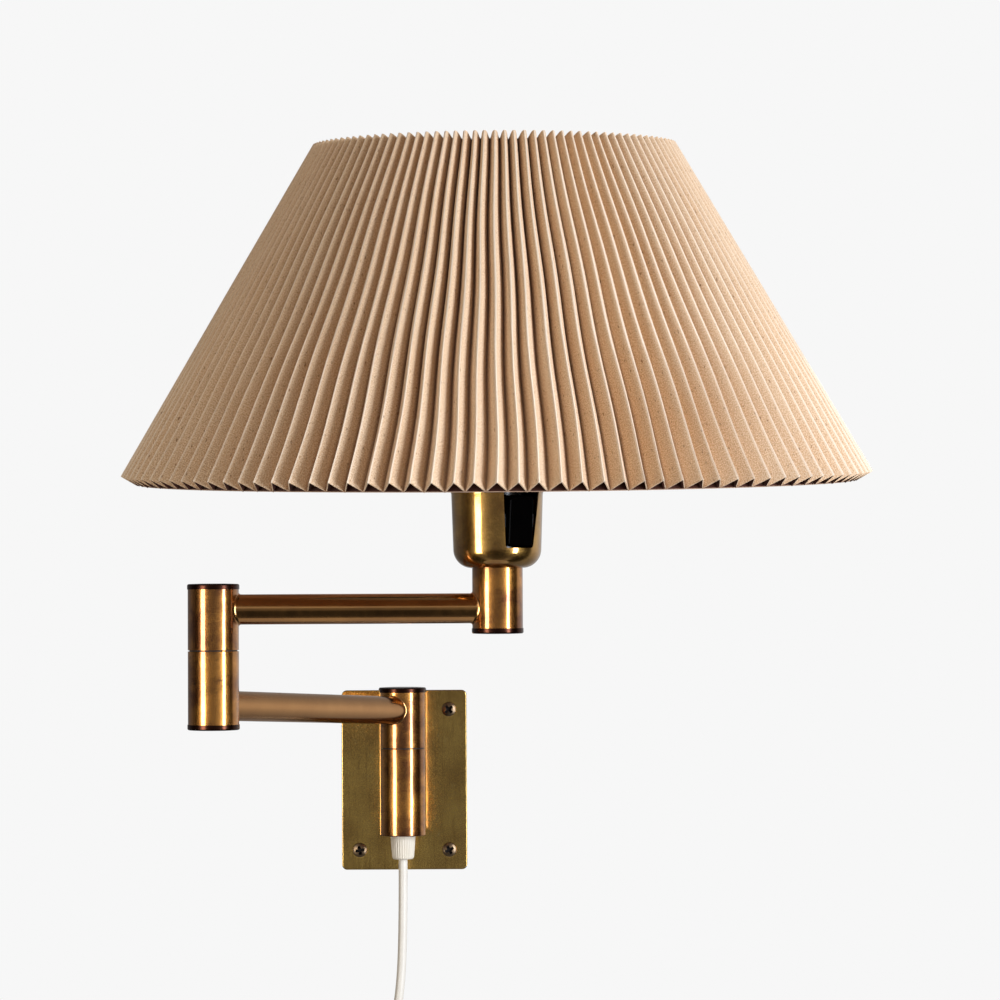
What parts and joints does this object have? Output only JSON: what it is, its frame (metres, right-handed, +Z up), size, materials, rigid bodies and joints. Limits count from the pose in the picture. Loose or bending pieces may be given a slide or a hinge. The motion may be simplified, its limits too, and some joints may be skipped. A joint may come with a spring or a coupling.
{
  "type": "swing-arm wall light",
  "caption": "Brass swing-arm wall light with a folding elbow, a pleated cone shade over a lampholder cup with a rocker switch, a rectangular wall plate and a corded plug.",
  "frame": {"origin": "centre of the wall plate's back face, on the wall", "axes": "+Z up, +Y into the wall, +X to the right for someone facing the wall"},
  "size_m": [0.3998, 0.4317, 0.6771],
  "materials": {
    "plate_brass": "satin, tarnished",
    "aged_brass": "satin",
    "dark_bronze": "glossy, darkened",
    "screw_brass": "satin",
    "plated_steel": "satin",
    "turned_brass": "turned",
    "washer_nylon": "matte",
    "holder_black": "matte",
    "switch_black": "glossy",
    "grip_ivory": "satin",
    "cord_sheath": "smooth",
    "plug_shell": "satin",
    "tie_band": "matte",
    "white_wire": "gloss paint",
    "liner_cloth": "matte",
    "pleat_cloth": "woven linen",
    "bulb_metal": "pressed",
    "bulb_opal": "opal"
  },
  "bodies": {
    "wall_mount": {"wall_plate": "plate_brass", "plate_screws": "screw_brass", "hub_stem": "aged_brass", "stem_screw": "plated_steel", "wall_sleeve": "aged_brass", "wall_collar": "turned_brass", "wall_pivot_tube": "turned_brass", "wall_thrust_washer": "washer_nylon", "wall_friction_washer": "plated_steel", "wall_pivot_nut": "plated_steel", "cord_grip": "grip_ivory", "cord_drop": "cord_sheath", "cord_coil": "cord_sheath", "cord_tie": "tie_band", "cord_tail": "cord_sheath", "plug_body": "plug_shell", "plug_pins": "plated_steel"},
    "lower_arm": {"wall_knuckle": "aged_brass", "wall_bush": "turned_brass", "wall_cap": "dark_bronze", "lower_arm_tube": "aged_brass", "elbow_lower_knuckle": "aged_brass", "elbow_bottom_cap": "dark_bronze", "elbow_collar": "turned_brass", "elbow_pivot_tube": "turned_brass", "elbow_thrust_washer": "washer_nylon", "elbow_friction_washer": "plated_steel", "elbow_pivot_nut": "plated_steel"},
    "upper_arm": {"elbow_upper_knuckle": "aged_brass", "elbow_bush": "turned_brass", "elbow_top_cap": "dark_bronze", "upper_arm_tube": "aged_brass", "head_knuckle": "aged_brass", "head_cap": "dark_bronze", "head_collar": "turned_brass", "head_nipple": "plated_steel", "nipple_nut": "plated_steel", "holder_cup": "aged_brass", "holder_base": "holder_black", "holder_skirt": "holder_black", "socket_shell": "turned_brass", "centre_contact": "turned_brass", "switch_pin": "plated_steel", "shade_carrier": "white_wire", "shade_ring_nut": "holder_black", "shade_top_ring": "white_wire", "shade_foot_ring": "white_wire", "shade_liner": "liner_cloth", "shade_pleats": "pleat_cloth", "bulb_cap": "bulb_metal", "bulb_glass": "bulb_opal"},
    "switch": {"switch_rocker": "switch_black"}
  },
  "joints": [
    {"name": "wall_swivel", "type": "hinge", "parent": "wall_mount", "child": "lower_arm", "pos_m": [0, -0.036, 0], "axis": [0, 0, 1], "range_deg": [-60, 115]},
    {"name": "elbow_swivel", "type": "hinge", "parent": "lower_arm", "child": "upper_arm", "pos_m": [-0.09444, -0.21897, 0], "axis": [0, 0, 1], "range_deg": [-290, 45]},
    {"name": "switch_rock", "type": "hinge", "parent": "upper_arm", "child": "switch", "pos_m": [0.06604, -0.21896, 0.148], "axis": [0.829, 0.5592, 0], "range_deg": [-8, 0]}
  ]
}
